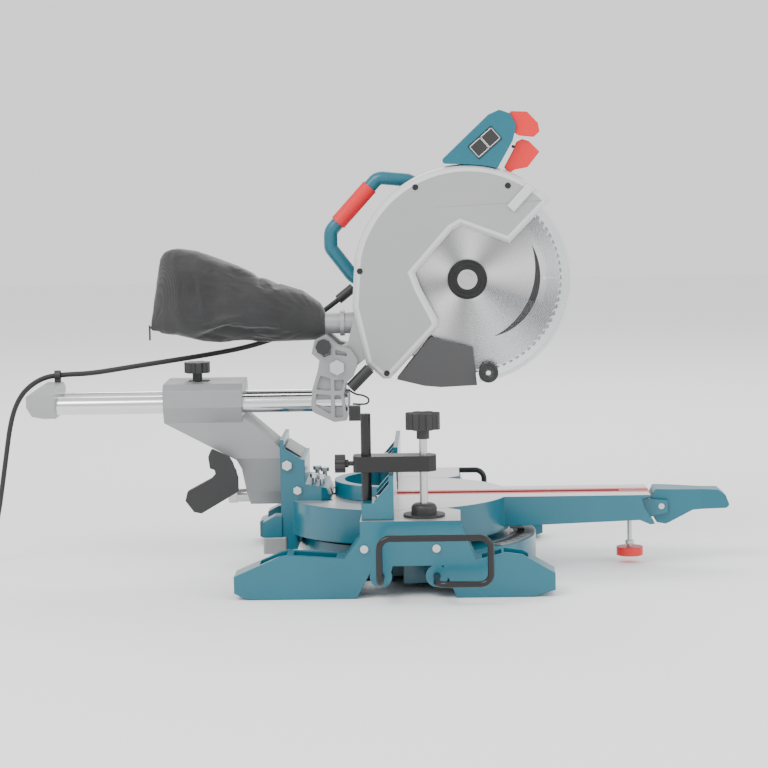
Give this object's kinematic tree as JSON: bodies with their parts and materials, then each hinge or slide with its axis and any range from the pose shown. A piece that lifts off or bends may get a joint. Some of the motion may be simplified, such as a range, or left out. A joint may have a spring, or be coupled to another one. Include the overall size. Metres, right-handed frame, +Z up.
{
  "type": "sliding miter saw",
  "caption": "Sliding compound miter saw with twin rails, chop head, turntable base, clamp and dust bag.",
  "frame": {"origin": "miter pivot on the fence line, at bench level", "axes": "+X towards the operator, +Y to the motor side, +Z up"},
  "size_m": [1.1435, 0.592, 0.5977],
  "materials": {
    "teal_casting": "satin",
    "grey_casting": "satin",
    "silver_case": "satin",
    "chrome": "polished",
    "steel": "satin",
    "black_plastic": "satin",
    "teal_plastic": "satin",
    "red_plastic": "satin",
    "clear_plastic": "gloss",
    "black_rubber": "matte",
    "black_mesh": "matte",
    "copper_and_iron": "satin"
  },
  "bodies": {
    "base": {"base_casting": "teal_casting", "fence": "teal_casting", "base_screws": "steel", "miter_scale": "grey_casting"},
    "near_bar": {"near_support_bar": "black_plastic"},
    "far_bar": {"far_support_bar": "black_plastic"},
    "turntable": {"turntable": "teal_casting", "kerf_insert": "red_plastic", "turntable_fasteners": "steel", "bevel_scale_and_pointer": "grey_casting", "bevel_pin": "steel"},
    "miter_handle": {"miter_handle": "teal_casting"},
    "front_foot": {"front_foot": "red_plastic"},
    "bevel_arm": {"bevel_arm": "grey_casting", "slide_bushes": "grey_casting"},
    "bevel_lever": {"bevel_lever": "black_plastic"},
    "rail_lock": {"rail_lock_knob": "black_plastic"},
    "slide_frame": {"near_rail": "chrome", "far_rail": "chrome", "rail_end_cap": "grey_casting", "cord_clip": "black_plastic", "arm_bracket": "grey_casting", "pivot_pin": "steel", "work_light": "black_plastic", "light_lead": "black_rubber", "power_cord": "black_rubber", "cord_coil": "black_rubber", "cord_plug": "black_plastic"},
    "head_lock": {"head_lock_pin": "black_plastic"},
    "head": {"gear_head": "grey_casting", "blade_case": "silver_case", "case_fasteners": "steel", "bearings": "steel", "dust_chute": "black_plastic", "handle_shell": "teal_plastic", "switch_panel": "black_plastic", "rear_grip": "red_plastic", "carry_handle": "teal_plastic", "carry_grip": "red_plastic", "motor_housing": "teal_plastic", "motor_cap": "black_plastic", "stator": "copper_and_iron", "dust_port": "silver_case", "dust_bag": "black_mesh", "strain_relief": "black_plastic"},
    "upper_switch": {"upper_switch": "black_plastic"},
    "lower_switch": {"lower_switch": "black_plastic"},
    "trigger": {"trigger": "red_plastic"},
    "blade": {"saw_blade": "steel", "blade_flanges": "steel", "arbor": "steel", "drive_wheel": "steel"},
    "rotor": {"rotor": "copper_and_iron"},
    "lower_guard": {"lower_guard": "clear_plastic"},
    "guard_roller": {"guard_roller": "black_plastic"},
    "clamp_post": {"clamp_post": "black_plastic"},
    "clamp_arm": {"clamp_arm": "black_plastic"},
    "clamp_lock": {"clamp_lock_knob": "black_plastic"},
    "clamp_screw": {"clamp_screw": "steel", "clamp_knob_and_pad": "black_plastic"}
  },
  "joints": [
    {"name": "miter", "type": "hinge", "parent": "base", "child": "turntable", "pos_m": [0, 0, 0.096], "axis": [0, 0, 1], "range_deg": [-45, 45]},
    {"name": "bevel", "type": "hinge", "parent": "turntable", "child": "bevel_arm", "pos_m": [0, 0, 0.096], "axis": [-1, 0, 0], "range_deg": [-45, 0]},
    {"name": "slide", "type": "slide", "parent": "bevel_arm", "child": "slide_frame", "axis": [1, 0, 0], "range_m": [-0.086, 0.125]},
    {"name": "chop", "type": "hinge", "parent": "slide_frame", "child": "head", "pos_m": [-0.075, 0, 0.269], "axis": [0, 1, 0], "range_deg": [0, 48], "stiffness_Nm_per_rad": 8, "springref_deg": -137.51, "deforming": ["power_cord"]},
    {"name": "lower_guard_swing", "type": "hinge", "parent": "head", "child": "lower_guard", "pos_m": [0.096, 0, 0.378], "axis": [0, 1, 0], "range_deg": [-100, 0]},
    {"name": "roller_spin", "type": "hinge", "parent": "lower_guard", "child": "guard_roller", "pos_m": [0.12178, 0, 0.25671], "axis": [0, 1, 0], "continuous": true},
    {"name": "blade_spin", "type": "hinge", "parent": "head", "child": "blade", "pos_m": [0.096, 0, 0.378], "axis": [0, 1, 0], "continuous": true},
    {"name": "rotor_spin", "type": "hinge", "parent": "head", "child": "rotor", "pos_m": [0.06109, 0, 0.42432], "axis": [0, 1, 0], "continuous": true},
    {"name": "trigger_pull", "type": "hinge", "parent": "head", "child": "trigger", "pos_m": [0.158, 0, 0.55], "axis": [0, 1, 0], "range_deg": [-5, 0], "stiffness_Nm_per_rad": 0.6, "springref_deg": 17.19},
    {"name": "upper_switch_press", "type": "slide", "parent": "head", "child": "upper_switch", "axis": [0, 1, 0], "range_m": [0, 0.0015], "stiffness_N_per_m": 400, "springref_m": -0.002},
    {"name": "lower_switch_press", "type": "slide", "parent": "head", "child": "lower_switch", "axis": [0, 1, 0], "range_m": [0, 0.0015], "stiffness_N_per_m": 400, "springref_m": -0.002},
    {"name": "miter_release", "type": "hinge", "parent": "turntable", "child": "miter_handle", "pos_m": [0.346, 0, 0.078], "axis": [0, 1, 0], "range_deg": [-6, 0], "stiffness_Nm_per_rad": 4, "springref_deg": 5.73},
    {"name": "foot_height", "type": "slide", "parent": "turntable", "child": "front_foot", "axis": [0, 0, 1], "range_m": [-0.009, 0.006]},
    {"name": "bevel_lock", "type": "hinge", "parent": "bevel_arm", "child": "bevel_lever", "pos_m": [-0.218, -0.05, 0.13], "axis": [0, 1, 0], "range_deg": [0, 30]},
    {"name": "rail_lock", "type": "hinge", "parent": "bevel_arm", "child": "rail_lock", "pos_m": [-0.262, 0, 0.26], "axis": [0, 0, 1], "range_deg": [-180, 180]},
    {"name": "head_lock", "type": "slide", "parent": "slide_frame", "child": "head_lock", "axis": [0, -1, 0], "range_m": [0, 0.012]},
    {"name": "near_bar_pull", "type": "slide", "parent": "base", "child": "near_bar", "axis": [0, -1, 0], "range_m": [0, 0.055]},
    {"name": "far_bar_pull", "type": "slide", "parent": "base", "child": "far_bar", "axis": [0, 1, 0], "range_m": [0, 0.055]},
    {"name": "clamp_swing", "type": "hinge", "parent": "base", "child": "clamp_post", "pos_m": [-0.034, -0.195, 0.15], "axis": [0, 0, 1], "range_deg": [-60, 20]},
    {"name": "clamp_lift", "type": "slide", "parent": "clamp_post", "child": "clamp_arm", "axis": [0, 0, 1], "range_m": [0, 0.04]},
    {"name": "clamp_lock", "type": "hinge", "parent": "clamp_arm", "child": "clamp_lock", "pos_m": [-0.06, -0.195, 0.163], "axis": [1, 0, 0], "range_deg": [-180, 180]},
    {"name": "clamp_press", "type": "slide", "parent": "clamp_arm", "child": "clamp_screw", "axis": [0, 0, 1], "range_m": [0, 0.03]}
  ],
  "couplings": [
    {"joint": "lower_guard_swing", "follows": "chop", "ratio": -2.08},
    {"joint": "rotor_spin", "follows": "blade_spin", "ratio": -3.4615}
  ]
}
